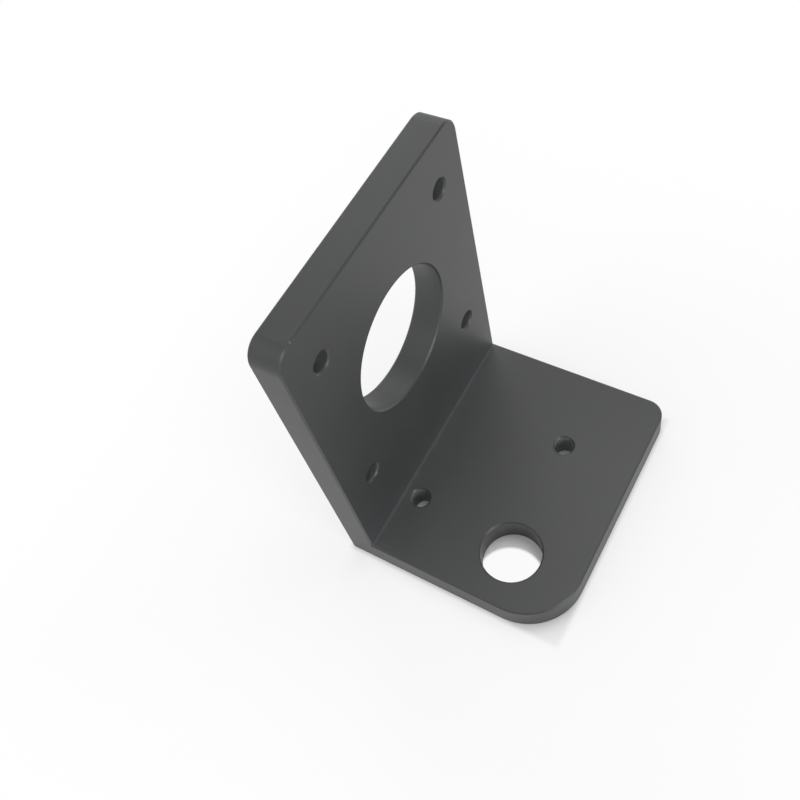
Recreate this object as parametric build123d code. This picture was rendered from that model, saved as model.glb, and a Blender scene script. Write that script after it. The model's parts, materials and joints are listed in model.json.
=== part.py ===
from build123d import *
import os

# A machined aluminium angle bracket that holds a small stepping motor.
# The upright carries the motor, and the base is screwed down to a frame.
# The origin is the centre of the underside, +Z is up, +X runs from the
# upright towards the free end of the base, and Y runs along the inside corner.

# ---------------------------------------------------------------- sizes, mm

# The motor's face: four screws on a square round a locating boss.
motor_hole_pitch = 31.0        # side of the square of motor screws
motor_hole_diameter = 3.2      # clearance for an M3 screw
pilot_diameter = 22.4          # clearance for the motor's 22 mm boss
motor_axis_height = 36.0       # from the underside up to the motor's axis
side_margin = 6.5              # from the motor screws out to each side
top_margin = 8.5               # from the upper motor screws to the top edge

# The two plates of the angle.
upright_thickness = 5.0
base_thickness = 5.0
base_reach = 33.0              # from the upright's inner face to the free end

# The base's own holes.
access_hole_diameter = 10.0
access_hole_from_end = 12.0    # from the free end to the hole's centre
access_hole_from_side = 9.1    # from the near side
base_hole_diameter = 3.2       # clearance for an M3 screw
outer_hole_from_end = 12.5     # from the free end
outer_hole_from_side = 14.0    # from the far side
inner_hole_from_upright = 3.0  # from the upright's inner face
inner_hole_from_side = 11.2    # from the near side

# Corners and edges.
small_corner_radius = 3.0      # the upright's two corners and the base's far one
broad_corner_radius = 9.5      # the base's near corner, round the large hole
inside_corner_radius = 0.3     # left by the cutter where the plates meet
edge_break = 0.25              # chamfer on every outer edge and hole rim

# ------------------------------------------------- places worked out from them

width = motor_hole_pitch + 2 * side_margin
depth = upright_thickness + base_reach
height = motor_axis_height + motor_hole_pitch / 2 + top_margin

back_x = -depth / 2                      # outer face of the upright
inner_x = back_x + upright_thickness     # inner face of the upright
free_x = depth / 2                       # free end of the base
near_y = -width / 2
far_y = width / 2


def angle_blank():
    """The two plates as one L section, drawn from the side and cut to width."""
    with BuildPart() as blank:
        with BuildSketch(Plane.XZ):
            with BuildLine():
                Polyline(
                    (back_x, 0),
                    (free_x, 0),
                    (free_x, base_thickness),
                    (inner_x, base_thickness),
                    (inner_x, height),
                    (back_x, height),
                    close=True,
                )
            make_face()
            inside_corner = vertices().sort_by_distance((inner_x, 0, base_thickness))[0]
            fillet(inside_corner, inside_corner_radius)
        extrude(amount=width / 2, both=True)
    return blank.part


def round_corners(blank):
    """Round the upright's two top corners and the base's two free corners."""
    top_corners = blank.edges().filter_by(Axis.X).group_by(Axis.Z)[-1]
    near_corner, far_corner = blank.edges().filter_by(Axis.Z).group_by(Axis.X)[-1].sort_by(Axis.Y)
    rounded = fillet(top_corners + [far_corner], small_corner_radius)
    near_corner = rounded.edges().filter_by(Axis.Z).group_by(Axis.X)[-1].sort_by(Axis.Y)[0]
    return fillet(near_corner, broad_corner_radius)


def motor_holes():
    """The locating bore and its four screw holes, as cutters along X."""
    motor_plane = Plane(origin=(back_x + upright_thickness / 2, 0, motor_axis_height), z_dir=(1, 0, 0))
    pilot = Cylinder(pilot_diameter / 2, 2 * upright_thickness)
    screw = Cylinder(motor_hole_diameter / 2, 2 * upright_thickness)
    corners = GridLocations(motor_hole_pitch, motor_hole_pitch, 2, 2)
    return [motor_plane * pilot] + [motor_plane * spot * screw for spot in corners]


def base_holes():
    """The large hole and the two screw holes of the base, as cutters along Z."""
    mid_z = base_thickness / 2
    access = Cylinder(access_hole_diameter / 2, 2 * base_thickness)
    screw = Cylinder(base_hole_diameter / 2, 2 * base_thickness)
    access_spot = Pos(free_x - access_hole_from_end, near_y + access_hole_from_side, mid_z)
    outer_spot = Pos(free_x - outer_hole_from_end, far_y - outer_hole_from_side, mid_z)
    inner_spot = Pos(inner_x + inner_hole_from_upright, near_y + inner_hole_from_side, mid_z)
    return [access_spot * access, outer_spot * screw, inner_spot * screw]


def break_edges(bracket):
    """Chamfer the outline and the hole rims of both plates, on both faces."""
    plate_faces = bracket.faces().filter_by(Axis.Z).sort_by(Axis.Z)[:2]
    plate_faces += bracket.faces().filter_by(Axis.X).sort_by(Axis.X)[:2]
    outlines = []
    for face in plate_faces:
        for edge in face.edges():
            runs_along = edge.geom_type == GeomType.LINE and abs(edge.tangent_at(0.5).Y) > 0.99
            middle = edge.position_at(0.5)
            offset = abs(middle.X - inner_x) + abs(middle.Z - base_thickness)
            if not (runs_along and offset <= 2 * inside_corner_radius):
                outlines.append(edge)
    return chamfer(outlines, edge_break)


bracket = round_corners(angle_blank())
bracket = bracket - motor_holes() - base_holes()
bracket = break_edges(bracket)
bracket.label = "bracket"

os.makedirs("parts", exist_ok=True)
export_step(bracket, "parts/bracket.step")
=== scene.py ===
"""Looks of a motor mounting bracket: its satin black coat, its small marks of use, and a plain stage."""

import json
import math
import bpy
from bpy.props import FloatProperty, FloatVectorProperty, PointerProperty
from mathutils import Matrix, Vector


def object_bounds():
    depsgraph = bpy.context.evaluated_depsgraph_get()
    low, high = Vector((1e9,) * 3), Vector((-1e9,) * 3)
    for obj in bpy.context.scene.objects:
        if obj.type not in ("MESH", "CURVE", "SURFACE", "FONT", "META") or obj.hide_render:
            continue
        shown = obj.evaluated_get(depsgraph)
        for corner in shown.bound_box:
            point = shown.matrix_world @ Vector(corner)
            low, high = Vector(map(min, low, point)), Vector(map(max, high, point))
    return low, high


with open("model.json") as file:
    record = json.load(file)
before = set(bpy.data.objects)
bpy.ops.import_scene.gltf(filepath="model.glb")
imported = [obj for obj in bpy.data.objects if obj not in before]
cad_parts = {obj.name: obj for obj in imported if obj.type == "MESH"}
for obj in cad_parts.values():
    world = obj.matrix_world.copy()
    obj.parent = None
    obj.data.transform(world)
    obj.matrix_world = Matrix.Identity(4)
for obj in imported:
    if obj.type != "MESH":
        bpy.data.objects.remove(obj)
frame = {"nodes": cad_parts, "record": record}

bl_info = {
    "name": "Motor bracket looks",
    "version": (1, 0, 0),
    "blender": (4, 5, 0),
    "location": "3D View > Sidebar > Bracket",
    "description": "Coats the motor bracket, marks its worn corner and sets its stage",
    "category": "Object",
}

NODE = "bracket"
CAD_LOW, CAD_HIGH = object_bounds()
MOUNTS = {mount["name"]: mount for mount in frame["record"]["mounts"]}
MM = 0.001

TOP_CORNER_RADIUS = 3.0 * MM     # the upright's top corners
BASE_SCREWS_TURN = 47.05         # degrees from +X to the line through the base's two screw holes
WALL_SLACK = 0.02 * MM           # lets a mask take in a surface that lies right on its limit

# A chamfer faces neither along an axis nor square to it. These are the shares
# of its normal along that axis where the mask starts, is full, and ends.
CHAMFER_START, CHAMFER_FULL = 0.30, 0.55
CHAMFER_FALL, CHAMFER_END = 0.85, 0.97

# Nicks round the near top corner: degrees down from its top, and share of the nick size.
NICKS = ((-10.3, 1.0), (31.0, 0.72), (37.5, 0.38), (-22.0, 0.30), (62.0, 0.34))

# Each lamp's azimuth and elevation in degrees, and how much wider it is than the others.
LAMPS = {
    "window": (72, 74, 1.0),
    "ceiling": (112, 58, 1.0),
    "rear": (135, 25, 1.0),
    "left": (-144, 42, 2.2),
    "front": (-15, 25, 1.0),
}
FLOOR_SIDES = 96
FLOOR_GAP = 0.02 * MM            # between the floor and the bracket's foot
HOLE_LIGHT_TURN = -75            # degrees from +X, the way the white patch is shifted
HOLE_LIGHT_SHARE = 0.92          # share of plain white in that patch


# ------------------------------------------------------------------ node help


def new_material(name):
    """An empty node material and its tree, with the output node in place."""
    material = bpy.data.materials.new(name)
    material.use_nodes = True
    tree = material.node_tree
    tree.nodes.clear()
    tree.nodes.new("ShaderNodeOutputMaterial")
    return material, tree


def output_of(tree):
    return next(node for node in tree.nodes if node.type == "OUTPUT_MATERIAL")


def add(tree, kind, inputs=None, **settings):
    """Adds a node, sets its properties, and sets or links its inputs."""
    node = tree.nodes.new(kind)
    for key, value in settings.items():
        setattr(node, key, value)
    for key, value in (inputs or {}).items():
        if isinstance(value, bpy.types.NodeSocket):
            tree.links.new(value, node.inputs[key])
        else:
            node.inputs[key].default_value = value
    return node


def maths(tree, operation, first, second=0.0, third=0.0, clamp=False):
    """One Math node, whose inputs may be numbers or sockets."""
    inputs = {0: first, 1: second, 2: third}
    return add(tree, "ShaderNodeMath", inputs, operation=operation, use_clamp=clamp).outputs[0]


def remap(tree, value, low, high, to_low=0.0, to_high=1.0, soft=True):
    """Value from low..high to to_low..to_high, held at its ends."""
    inputs = {"Value": value, "From Min": low, "From Max": high, "To Min": to_low, "To Max": to_high}
    kind = "SMOOTHSTEP" if soft else "LINEAR"
    return add(tree, "ShaderNodeMapRange", inputs, interpolation_type=kind, clamp=True).outputs["Result"]


def blend_colour(tree, factor, first, second):
    """Mixes two colours by a factor."""
    mix = add(tree, "ShaderNodeMix", data_type="RGBA", blend_type="MIX")
    sockets = {0: factor, 6: first, 7: second}
    for index, value in sockets.items():
        if isinstance(value, bpy.types.NodeSocket):
            tree.links.new(value, mix.inputs[index])
        else:
            mix.inputs[index].default_value = value
    return mix.outputs[2]


def noise(tree, where, feature, detail=2.0, roughness=0.5):
    """Noise whose lumps are about `feature` metres across, from 0 to 1."""
    inputs = {"Vector": where, "Scale": 1.0 / feature, "Detail": detail, "Roughness": roughness}
    return add(tree, "ShaderNodeTexNoise", inputs).outputs["Fac"]


def distance(tree, where, point):
    """Distance in metres from a fixed point."""
    return add(tree, "ShaderNodeVectorMath", {0: where, 1: point}, operation="DISTANCE").outputs["Value"]


def flatten(tree, where, across):
    """A place with the axis that `across` holds at 0 taken out."""
    return add(tree, "ShaderNodeVectorMath", {0: where, 1: across}, operation="MULTIPLY").outputs["Vector"]


def grey(level):
    return (level, level, level, 1.0)


def shade(colour, factor):
    """A colour made lighter or darker, with its alpha."""
    return [channel * factor for channel in colour] + [1.0]


# ------------------------------------------------------- where things lie, m


def mount_point(name):
    return Vector(MOUNTS[name]["pos_m"])


def mount_radius(name):
    return MOUNTS[name]["dims"]["r_mm"] * MM


def flat_pattern(name, turn=0.0):
    """Hole centres of a bolt pattern: a square in the upright, or a pair `turn` degrees round in the base."""
    centre, dims = mount_point(name), MOUNTS[name]["dims"]
    if "pcd_mm" in dims:
        angle, reach = math.radians(turn), dims["pcd_mm"] * MM / 2
        offset = Vector((math.cos(angle), math.sin(angle), 0)) * reach
        return [centre - offset, centre + offset]
    half = dims["spacing_x_mm"] * MM / 2
    return [centre + Vector((0, across * half, up * half)) for across in (-1, 1) for up in (-1, 1)]


def screw_holes(name, turn=0.0):
    """Centre and radius of each hole of a bolt pattern."""
    radius = MOUNTS[name]["dims"]["hole_r_mm"] * MM
    return [(centre, radius) for centre in flat_pattern(name, turn)]


BASE_TOP = 2 * mount_point("base_large_hole").z
INNER_FACE = mount_point("upright_inner_face").x
PILOT = (mount_point("motor_pilot"), mount_radius("motor_pilot"))
LARGE_HOLE = (mount_point("base_large_hole"), mount_radius("base_large_hole"))
MOTOR_SCREWS = screw_holes("motor_screws")
BASE_SCREWS = screw_holes("base_screws", BASE_SCREWS_TURN)


def corner_rim_point(turn):
    """A point on the inner rim of the upright's near top corner, `turn` degrees down from its top."""
    centre = Vector((INNER_FACE, CAD_LOW.y + TOP_CORNER_RADIUS, CAD_HIGH.z - TOP_CORNER_RADIUS))
    angle = math.radians(turn)
    return centre + Vector((0, -math.sin(angle), math.cos(angle))) * TOP_CORNER_RADIUS


# ----------------------------------------------------------------- settings


class CoatSettings(bpy.types.PropertyGroup):
    """The black anodised coat and the cut metal under it."""

    colour: FloatVectorProperty(
        name="Coat colour",
        description="Colour of the dyed coat on the broad faces",
        subtype="COLOR",
        size=3,
        min=0.0,
        max=1.0,
        default=(0.0388, 0.0400, 0.0411),
    )
    roughness: FloatProperty(
        name="Roughness",
        description="How far the blasted coat spreads a reflection",
        subtype="FACTOR",
        min=0.05,
        max=1.0,
        default=0.46,
    )
    mottle_size: FloatProperty(
        name="Mottle size",
        description="Width of the soft lighter and darker patches in the dye",
        unit="LENGTH",
        min=0.0005,
        default=0.006,
    )
    mottle_depth: FloatProperty(
        name="Mottle depth",
        description="How much lighter or darker a patch is, as a share of the colour",
        subtype="FACTOR",
        min=0.0,
        max=0.5,
        default=0.07,
    )
    grain_size: FloatProperty(
        name="Grain size",
        description="Width of one dimple of the blasted surface",
        unit="LENGTH",
        min=0.00005,
        default=0.00022,
    )
    grain_height: FloatProperty(
        name="Grain height",
        description="Depth of one dimple of the blasted surface",
        unit="LENGTH",
        min=0.0,
        default=0.0000022,
        precision=7,
    )
    # Painted light: the edge breaks are coloured paler than the faces.
    edge_light_paint: FloatProperty(
        name="Edge shade",
        description="Colour of the edge breaks, as a multiple of the faces' colour",
        min=0.0,
        max=4.0,
        default=1.15,
    )
    bore_shade: FloatProperty(
        name="Bore shade",
        description="Colour of the two large bores' walls, as a multiple of the faces' colour",
        min=0.0,
        max=4.0,
        default=1.2,
    )
    # Painted light: the walls of the motor holes and the base's screw holes are coloured paler than the
    # faces, for haze that lightens them.
    motor_hole_light_paint: FloatProperty(
        name="Motor hole shade",
        description="Colour of the motor holes' walls, as a multiple of the faces'. Pale, as haze would",
        min=0.0,
        max=8.0,
        default=2.4,
    )
    base_hole_light_paint: FloatProperty(
        name="Base hole shade",
        description="Colour of the base's screw holes' walls, as the same multiple. Pale, as haze would",
        min=0.0,
        max=8.0,
        default=5.0,
    )
    # Painted light: the four settings below colour the inside corner paler, a film that stands in for haze
    # and fills the shade there, and a line that stands for the highlight on its curve.
    painted_corner_light: FloatProperty(
        name="Painted corner light",
        description="How thickly dust lies at the foot of the upright, where it also stands in for haze",
        subtype="FACTOR",
        min=0.0,
        max=1.0,
        default=0.10,
    )
    painted_highlight_line: FloatProperty(
        name="Dust line",
        description="How thickly dust lies in the curve of the inside corner",
        subtype="FACTOR",
        min=0.0,
        max=1.0,
        default=0.10,
    )
    painted_light_reach: FloatProperty(
        name="Dust reach",
        description="Height up the upright over which the dust thins to about a third",
        unit="LENGTH",
        min=0.0005,
        default=0.006,
    )
    painted_light_colour: FloatVectorProperty(
        name="Dust colour",
        description="Colour of the dust in the inside corner",
        subtype="COLOR",
        size=3,
        min=0.0,
        max=1.0,
        default=(0.34, 0.35, 0.36),
    )
    ring_pitch: FloatProperty(
        name="Ring pitch",
        description="Spacing of the fine rings that the boring tool left in the two large holes",
        unit="LENGTH",
        min=0.00005,
        default=0.00028,
    )


class MarkSettings(bpy.types.PropertyGroup):
    """Small bright nicks where the coat is knocked off one corner."""

    metal_colour: FloatVectorProperty(
        name="Metal colour",
        description="Colour of the bare aluminium in a nick",
        subtype="COLOR",
        size=3,
        min=0.0,
        max=1.0,
        default=(0.199, 0.199, 0.196),
    )
    nick_size: FloatProperty(
        name="Nick size",
        description="Width of the largest nick",
        unit="LENGTH",
        min=0.00005,
        default=0.00042,
    )
    nick_depth: FloatProperty(
        name="Nick depth",
        description="How deep the coat is knocked away",
        unit="LENGTH",
        min=0.0,
        default=0.00003,
        precision=6,
    )
    rub: FloatProperty(
        name="Rubbed edge",
        description="How far the corner's edge is rubbed towards bare metal",
        subtype="FACTOR",
        min=0.0,
        max=1.0,
        default=0.03,
    )


class StageSettings(bpy.types.PropertyGroup):
    """The floor, the lamps and the camera."""

    floor_colour: FloatVectorProperty(
        name="Floor colour",
        description="Colour of the plain floor",
        subtype="COLOR",
        size=3,
        min=0.0,
        max=1.0,
        default=(0.9, 0.9, 0.9),
    )
    floor_radius: FloatProperty(
        name="Floor radius",
        description="Radius of the round floor",
        unit="LENGTH",
        min=0.2,
        default=1.5,
    )
    floor_lift: FloatProperty(
        name="Floor lift",
        description="Share of plain white in the open floor, which thins the bracket's shadow there",
        subtype="FACTOR",
        min=0.0,
        max=1.0,
        default=0.68,
    )
    floor_lift_under: FloatProperty(
        name="Floor lift under the bracket",
        description="Share of plain white in the floor that shows through the holes of the base",
        subtype="FACTOR",
        min=0.0,
        max=1.0,
        default=0.06,
    )
    hole_light_radius: FloatProperty(
        name="Hole light radius",
        description="Radius of the patch of plain white set in the floor under the large hole",
        unit="LENGTH",
        min=0.0,
        default=0.0056,
    )
    hole_light_shift: FloatProperty(
        name="Hole light shift",
        description="How far that patch lies off the hole, away from the window",
        unit="LENGTH",
        min=0.0,
        default=0.0030,
    )
    sky_level: FloatProperty(
        name="Sky level",
        description="Brightness of the even light from above the white horizon",
        min=0.0,
        default=0.30,
    )
    horizon_rise: FloatProperty(
        name="Horizon rise",
        description="How high the white horizon reaches",
        subtype="ANGLE",
        min=0.0,
        max=math.pi / 2,
        default=math.radians(16),
    )
    lamp_distance: FloatProperty(
        name="Lamp distance",
        description="Distance of every lamp from the bracket",
        unit="LENGTH",
        min=0.2,
        default=0.8,
    )
    lamp_spread: FloatProperty(
        name="Lamp spread",
        description="How wide each round lamp looks from the bracket",
        subtype="ANGLE",
        min=math.radians(2),
        max=math.radians(90),
        default=math.radians(26),
    )
    window_light: FloatProperty(
        name="Window light",
        description="Light of the high lamp, on a face square to it",
        min=0.0,
        default=0.91,
    )
    ceiling_light: FloatProperty(
        name="Ceiling light",
        description="Light of the dim patch of ceiling, on a face square to it",
        min=0.0,
        default=0.28,
    )
    rear_light: FloatProperty(
        name="Rear light",
        description="Light of the low lamp behind the upright, on a face square to it",
        min=0.0,
        default=0.52,
    )
    left_light: FloatProperty(
        name="Left light",
        description="Light of the lamp to the left of the upright, on a face square to it",
        min=0.0,
        default=1.0,
    )
    front_light: FloatProperty(
        name="Front light",
        description="Light of the low lamp in front of the upright, on a face square to it",
        min=0.0,
        default=0.98,
    )
    camera_azimuth: FloatProperty(
        name="Camera azimuth",
        description="Direction of the camera round the bracket, from +X towards +Y",
        subtype="ANGLE",
        default=math.radians(-43.381),
    )
    camera_elevation: FloatProperty(
        name="Camera elevation",
        description="Height of the camera's direction above the floor",
        subtype="ANGLE",
        default=math.radians(57.106),
    )
    camera_roll: FloatProperty(
        name="Camera roll",
        description="Turn of the camera about its own axis",
        subtype="ANGLE",
        default=math.radians(-19.498),
    )
    camera_distance: FloatProperty(
        name="Camera distance",
        description="Distance from the camera to the point that it is aimed at",
        unit="LENGTH",
        min=0.05,
        default=0.15586,
    )
    camera_aim: FloatVectorProperty(
        name="Camera aim",
        description="The point that the camera looks at, low on the upright's outer face",
        subtype="XYZ",
        size=3,
        default=(CAD_LOW.x - 0.0002, 0.0, CAD_LOW.z + 0.01494),
    )
    focal_length: FloatProperty(
        name="Focal length",
        description="Focal length in millimetres, on a sensor 36 mm wide",
        min=10.0,
        default=41.953,
    )


# -------------------------------------------------------- the coat, in parts


def edge_break_mask(tree, place, facing):
    """1 on the chamfers, which face between two directions, and 0 on flat faces and hole walls."""

    def slanted(share):
        size = maths(tree, "ABSOLUTE", share)
        rising = remap(tree, size, CHAMFER_START, CHAMFER_FULL)
        falling = remap(tree, size, CHAMFER_FALL, CHAMFER_END, 1.0, 0.0)
        return maths(tree, "MULTIPLY", rising, falling)

    in_upright = maths(tree, "LESS_THAN", place["X"], INNER_FACE + 0.1 * MM)
    in_base = maths(tree, "LESS_THAN", place["Z"], BASE_TOP + 0.1 * MM)
    upright_edge = maths(tree, "MULTIPLY", slanted(facing["X"]), in_upright)
    base_edge = maths(tree, "MULTIPLY", slanted(facing["Z"]), in_base)
    return maths(tree, "MAXIMUM", upright_edge, base_edge)


def within_holes(tree, where, holes, along):
    """1 inside the given holes, whose axes run along one axis of the frame, and 0 elsewhere."""
    across = Vector((0, 1, 1)) if along == "X" else Vector((1, 1, 0))
    flattened = flatten(tree, where, across)
    inside = 0.0
    for centre, radius in holes:
        reach = distance(tree, flattened, centre * across)
        hole = maths(tree, "LESS_THAN", reach, radius + WALL_SLACK)
        inside = maths(tree, "MAXIMUM", hole, inside)
    return inside


def hole_masks(tree, where, place):
    """Masks of the walls: pilot bore, the base's large hole, the motor holes, the base's screw holes."""
    in_upright = maths(tree, "LESS_THAN", place["X"], INNER_FACE)
    pilot = maths(tree, "MULTIPLY", within_holes(tree, where, [PILOT], "X"), in_upright)
    motor_screws = maths(tree, "MULTIPLY", within_holes(tree, where, MOTOR_SCREWS, "X"), in_upright)
    in_base = maths(tree, "LESS_THAN", place["Z"], BASE_TOP)
    large = maths(tree, "MULTIPLY", within_holes(tree, where, [LARGE_HOLE], "Z"), in_base)
    base_screws = maths(tree, "MULTIPLY", within_holes(tree, where, BASE_SCREWS, "Z"), in_base)
    return pilot, large, motor_screws, base_screws


def tool_rings(tree, place, pilot, large, pitch):
    """Height of the fine rings that the boring tool left in the two large holes."""

    def rings(axis):
        return maths(tree, "SINE", maths(tree, "MULTIPLY", place[axis], 2 * math.pi / pitch))

    height = maths(tree, "MULTIPLY", pilot, rings("X"))
    return maths(tree, "ADD", height, maths(tree, "MULTIPLY", large, rings("Z")))


def corner_painted_light_mask(tree, where, place, coat):
    """Painted light in the inside corner: a fine highlight line in its curve, and a film that thins out up
    the upright.
    """
    out = maths(tree, "SUBTRACT", place["X"], INNER_FACE)
    up = maths(tree, "SUBTRACT", place["Z"], BASE_TOP)
    in_corner = maths(tree, "GREATER_THAN", maths(tree, "MINIMUM", out, up), -WALL_SLACK)
    fall_out = maths(tree, "DIVIDE", out, coat.painted_light_reach * 0.6)
    fall = maths(tree, "ADD", fall_out, maths(tree, "DIVIDE", up, coat.painted_light_reach))
    film = maths(tree, "EXPONENT", maths(tree, "MULTIPLY", fall, -1.0))
    lumps = noise(tree, where, 2.5 * MM, detail=4.0, roughness=0.6)
    film = maths(tree, "MULTIPLY", film, remap(tree, lumps, 0.25, 0.75, 0.75, 1.25, soft=False))
    line = remap(tree, maths(tree, "ADD", out, up), 0.10 * MM, 0.50 * MM, coat.painted_highlight_line, 0.0)
    painted_corner_light = maths(tree, "MULTIPLY_ADD", film, coat.painted_corner_light, line)
    return maths(tree, "MULTIPLY", painted_corner_light, in_corner, clamp=True)


def nick_mask(tree, where, marks):
    """1 where the coat is gone: ragged spots on the rim of the near top corner, and crumbs beside them."""
    ragged = noise(tree, where, marks.nick_size * 0.45, detail=3.0, roughness=0.6)
    gone = 0.0
    for turn, share in NICKS:
        reach = distance(tree, where, corner_rim_point(turn))
        size = marks.nick_size * share / 2
        inward = maths(tree, "SUBTRACT", reach, size * 0.6)
        ragged_reach = maths(tree, "MULTIPLY_ADD", ragged, size * 1.2, inward)
        spot = remap(tree, ragged_reach, size * 0.85, size * 1.15, 1.0, 0.0)
        gone = maths(tree, "MAXIMUM", spot, gone)
    return gone


def rubbed_mask(tree, where, edge, marks):
    """The edge round the near top corner, rubbed in a broken line that fades away from the corner."""
    reach = distance(tree, where, corner_rim_point(20.0))
    near = remap(tree, reach, 1.0 * MM, 9.0 * MM, 1.0, 0.0)
    broken = remap(tree, noise(tree, where, 0.7 * MM, detail=3.0), 0.50, 0.68)
    rubbed = maths(tree, "MULTIPLY", broken, marks.rub)
    return maths(tree, "MULTIPLY", maths(tree, "MULTIPLY", edge, near), rubbed)


def coat_material(coat, marks):
    """Satin black anodised aluminium: blasted faces, smooth edges, turned bores and one knocked corner."""
    material, tree = new_material("black_anodised_coat")
    where = tree.nodes.new("ShaderNodeTexCoord")
    spot = where.outputs["Object"]
    place = add(tree, "ShaderNodeSeparateXYZ", {0: spot}).outputs
    facing = add(tree, "ShaderNodeSeparateXYZ", {0: where.outputs["Normal"]}).outputs

    edge = edge_break_mask(tree, place, facing)
    pilot, large, motor_screws, base_screws = hole_masks(tree, spot, place)
    bore = maths(tree, "MAXIMUM", pilot, large)
    wall = maths(tree, "MAXIMUM", maths(tree, "MAXIMUM", motor_screws, base_screws), bore)
    nick = nick_mask(tree, spot, marks)
    rubbed = rubbed_mask(tree, spot, edge, marks)

    mottle = noise(tree, spot, coat.mottle_size, detail=4.0, roughness=0.55)
    cloud = noise(tree, spot, coat.mottle_size * 4.5, detail=2.0)
    grain = noise(tree, spot, coat.grain_size, detail=2.0, roughness=0.6)
    patches = maths(tree, "MULTIPLY_ADD", cloud, 0.4, maths(tree, "MULTIPLY", mottle, 0.6))
    dark_dye = shade(coat.colour, 1.0 - coat.mottle_depth * 3)
    pale_dye = shade(coat.colour, 1.0 + coat.mottle_depth * 3)
    colour = blend_colour(tree, patches, dark_dye, pale_dye)
    # Painted light: the edge breaks get a paler colour than the faces.
    colour = blend_colour(tree, edge, colour, shade(coat.colour, coat.edge_light_paint))
    colour = blend_colour(tree, bore, colour, shade(coat.colour, coat.bore_shade))
    # Painted light: the screw holes' walls are coloured paler, for haze that lightens them.
    colour = blend_colour(tree, motor_screws, colour, shade(coat.colour, coat.motor_hole_light_paint))
    colour = blend_colour(tree, base_screws, colour, shade(coat.colour, coat.base_hole_light_paint))
    # Painted light: the inside corner is coloured paler, a film against its shade and haze and a highlight
    # line along its curve.
    painted_corner_light = corner_painted_light_mask(tree, spot, place, coat)
    colour = blend_colour(tree, painted_corner_light, colour, list(coat.painted_light_colour) + [1.0])
    metal = list(marks.metal_colour) + [1.0]
    bare = maths(tree, "MAXIMUM", nick, rubbed)
    colour = blend_colour(tree, bare, colour, metal)

    spread = 0.03
    smooth, rough = coat.roughness - spread, coat.roughness + spread
    roughness = remap(tree, patches, 0.30, 0.70, smooth, rough, soft=False)
    roughness = maths(tree, "MULTIPLY_ADD", edge, -0.06, roughness)

    blasted = maths(tree, "SUBTRACT", 1.0, maths(tree, "MAXIMUM", edge, wall), clamp=True)
    height = maths(tree, "MULTIPLY", maths(tree, "MULTIPLY", grain, coat.grain_height), blasted)
    rings = tool_rings(tree, place, pilot, large, coat.ring_pitch)
    height = maths(tree, "MULTIPLY_ADD", rings, coat.grain_height * 0.35, height)
    height = maths(tree, "MULTIPLY_ADD", nick, -marks.nick_depth, height)
    bump = add(tree, "ShaderNodeBump", {"Height": height, "Distance": 1.0, "Strength": 1.0})

    shader = add(
        tree,
        "ShaderNodeBsdfPrincipled",
        {
            "Base Color": colour,
            "Roughness": roughness,
            "Metallic": nick,
            "Normal": bump.outputs["Normal"],
            "Specular IOR Level": 0.5,
        },
    )
    tree.links.new(shader.outputs["BSDF"], output_of(tree).inputs["Surface"])
    return material


# ---------------------------------------------------------------- the stage


def direction(azimuth, elevation):
    """Unit vector towards a place in the sky, from angles in degrees."""
    turn, rise = math.radians(azimuth), math.radians(elevation)
    return Vector((math.cos(rise) * math.cos(turn), math.cos(rise) * math.sin(turn), math.sin(rise)))


def floor_material(stage):
    """A matt white floor. The camera sees part of it as plain white, the least of it under the bracket, and a
    painted pool of light under the large hole.
    """
    material, tree = new_material("stage_floor")
    matt = add(tree, "ShaderNodeBsdfDiffuse", {"Color": list(stage.floor_colour) + [1.0]})
    white = add(tree, "ShaderNodeEmission", {"Color": grey(1.0), "Strength": 1.0})
    where = tree.nodes.new("ShaderNodeTexCoord").outputs["Object"]
    place = add(tree, "ShaderNodeSeparateXYZ", {0: where}).outputs

    half_length, half_width = CAD_HIGH.x - 0.3 * MM, CAD_HIGH.y - 0.3 * MM
    past_end = maths(tree, "SUBTRACT", maths(tree, "ABSOLUTE", place["X"]), half_length)
    past_side = maths(tree, "SUBTRACT", maths(tree, "ABSOLUTE", place["Y"]), half_width)
    past = maths(tree, "MAXIMUM", past_end, past_side)
    outside = remap(tree, past, 0.0, 1.2 * MM)
    open_floor = remap(tree, past, 15 * MM, 70 * MM, stage.floor_lift, 1.0)
    lift = add(tree, "ShaderNodeMix", {0: outside, 2: stage.floor_lift_under, 3: open_floor}).outputs[0]

    # Painted light: a patch of plain white, set where light through the large hole would fall.
    across = Vector((1, 1, 0))
    lit_centre = LARGE_HOLE[0] + direction(HOLE_LIGHT_TURN, 0) * stage.hole_light_shift
    reach = distance(tree, flatten(tree, where, across), lit_centre * across)
    full, none = stage.hole_light_radius - 0.25 * MM, stage.hole_light_radius + 0.45 * MM
    lit = remap(tree, reach, full, none, 1.0, 0.0)
    lift = maths(tree, "MAXIMUM", lift, maths(tree, "MULTIPLY", lit, HOLE_LIGHT_SHARE))

    path = add(tree, "ShaderNodeLightPath").outputs
    mirrored = maths(tree, "MAXIMUM", path["Is Glossy Ray"], path["Is Transmission Ray"])
    seen = maths(tree, "MAXIMUM", path["Is Camera Ray"], mirrored)
    share = maths(tree, "MULTIPLY", lift, seen)
    mixed = add(tree, "ShaderNodeMixShader", {0: share, 1: matt.outputs[0], 2: white.outputs[0]})
    tree.links.new(mixed.outputs[0], output_of(tree).inputs["Surface"])
    return material


def build_floor(stage):
    """A round floor just under the bracket's foot."""
    mesh = bpy.data.meshes.new("floor")
    rim = [
        (
            stage.floor_radius * math.cos(2 * math.pi * step / FLOOR_SIDES),
            stage.floor_radius * math.sin(2 * math.pi * step / FLOOR_SIDES),
            CAD_LOW.z - FLOOR_GAP,
        )
        for step in range(FLOOR_SIDES)
    ]
    mesh.from_pydata(rim, [], [list(range(FLOOR_SIDES))])
    mesh.materials.append(floor_material(stage))
    floor = bpy.data.objects.new("floor", mesh)
    bpy.context.scene.collection.objects.link(floor)


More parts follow.
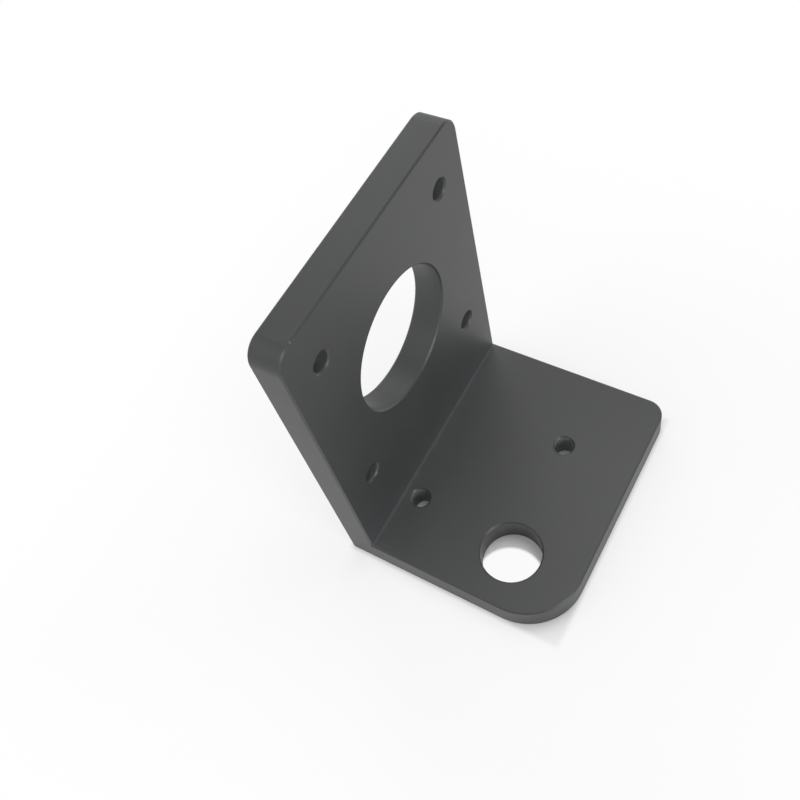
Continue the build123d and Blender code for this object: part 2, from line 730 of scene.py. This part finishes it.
def build_sky(stage):
    """Even light from all round, white along the horizon so that the floor has no hard end."""
    world = bpy.data.worlds.new("studio")
    world.use_nodes = True
    tree = world.node_tree
    tree.nodes.clear()
    where = tree.nodes.new("ShaderNodeTexCoord").outputs["Generated"]
    rise = add(tree, "ShaderNodeSeparateXYZ", {0: where}).outputs["Z"]
    end = math.sin(stage.horizon_rise)
    level = remap(tree, rise, end - 0.04, end + 0.04, 1.0, stage.sky_level)
    sky = add(tree, "ShaderNodeBackground", {"Color": grey(1.0), "Strength": level})
    output = tree.nodes.new("ShaderNodeOutputWorld")
    tree.links.new(sky.outputs[0], output.inputs["Surface"])
    bpy.context.scene.world = world


def build_lamp(name, azimuth, elevation, light, stage, wider):
    """A round soft lamp towards the given angles. `light` is what it gives a face square to it."""
    lamp = bpy.data.lights.new(name, "AREA")
    lamp.shape = "DISK"
    lamp.size = 2 * stage.lamp_distance * math.tan(stage.lamp_spread * wider / 2)
    lamp.energy = math.pi * light * stage.lamp_distance**2
    towards = direction(azimuth, elevation)
    holder = bpy.data.objects.new(name, lamp)
    holder.location = towards * stage.lamp_distance
    holder.rotation_euler = towards.to_track_quat("Z", "Y").to_euler()
    holder.visible_camera = False
    bpy.context.scene.collection.objects.link(holder)


def build_lamps(stage):
    """Five soft lamps: a high window, a dim ceiling patch, and one behind, to the left and in front."""
    for name, (azimuth, elevation, wider) in LAMPS.items():
        build_lamp(name, azimuth, elevation, getattr(stage, f"{name}_light"), stage, wider)


def build_camera(stage):
    """A camera that looks down into the angle, a little rolled."""
    camera = bpy.data.cameras.new("camera")
    camera.sensor_width = 36.0
    camera.lens = stage.focal_length
    camera.clip_start = 0.005
    holder = bpy.data.objects.new("camera", camera)
    azimuth, elevation = math.degrees(stage.camera_azimuth), math.degrees(stage.camera_elevation)
    back = direction(azimuth, elevation)
    level_right = Vector((0, 0, 1)).cross(back).normalized()
    level_up = back.cross(level_right)
    roll = stage.camera_roll
    right = level_right * math.cos(roll) + level_up * math.sin(roll)
    up = back.cross(right)
    place = Vector(stage.camera_aim) + back * stage.camera_distance
    holder.matrix_world = Matrix.Translation(place) @ Matrix((right, up, back)).transposed().to_4x4()
    bpy.context.scene.collection.objects.link(holder)
    bpy.context.scene.camera = holder


# ---------------------------------------------------------------- operators


class BRACKET_OT_coat(bpy.types.Operator):
    """Give the bracket its black anodised coat, with the nicks at one corner"""

    bl_idname = "bracket.coat"
    bl_label = "Coat the bracket"

    def execute(self, context):
        bracket = frame["nodes"][NODE]
        material = coat_material(context.scene.bracket_coat, context.scene.bracket_marks)
        for slot in bracket.material_slots:
            slot.material = material
        return {"FINISHED"}


class BRACKET_OT_stage(bpy.types.Operator):
    """Build the floor, the sky, the lamps and the camera"""

    bl_idname = "bracket.stage"
    bl_label = "Set the stage"

    def execute(self, context):
        stage = context.scene.bracket_stage
        build_floor(stage)
        build_sky(stage)
        build_lamps(stage)
        build_camera(stage)
        context.scene.view_settings.view_transform = "Standard"
        return {"FINISHED"}


class BRACKET_PT_looks(bpy.types.Panel):
    """Settings and steps of the bracket's looks"""

    bl_label = "Bracket looks"
    bl_space_type = "VIEW_3D"
    bl_region_type = "UI"
    bl_category = "Bracket"

    def draw(self, context):
        steps = (
            (context.scene.bracket_coat, "Coat", None),
            (context.scene.bracket_marks, "Marks", "bracket.coat"),
            (context.scene.bracket_stage, "Stage", "bracket.stage"),
        )
        for settings, title, operator in steps:
            box = self.layout.box()
            box.label(text=title)
            for key in settings.bl_rna.properties.keys():
                if key not in {"rna_type", "name"}:
                    box.prop(settings, key)
            if operator:
                box.operator(operator)


CLASSES = (
    CoatSettings,
    MarkSettings,
    StageSettings,
    BRACKET_OT_coat,
    BRACKET_OT_stage,
    BRACKET_PT_looks,
)


def register():
    for item in CLASSES:
        bpy.utils.register_class(item)
    bpy.types.Scene.bracket_coat = PointerProperty(type=CoatSettings)
    bpy.types.Scene.bracket_marks = PointerProperty(type=MarkSettings)
    bpy.types.Scene.bracket_stage = PointerProperty(type=StageSettings)


def unregister():
    del bpy.types.Scene.bracket_stage
    del bpy.types.Scene.bracket_marks
    del bpy.types.Scene.bracket_coat
    for item in reversed(CLASSES):
        bpy.utils.unregister_class(item)


def main():
    register()
    bpy.ops.bracket.coat()
    bpy.ops.bracket.stage()


if __name__ == "__main__":
    main()
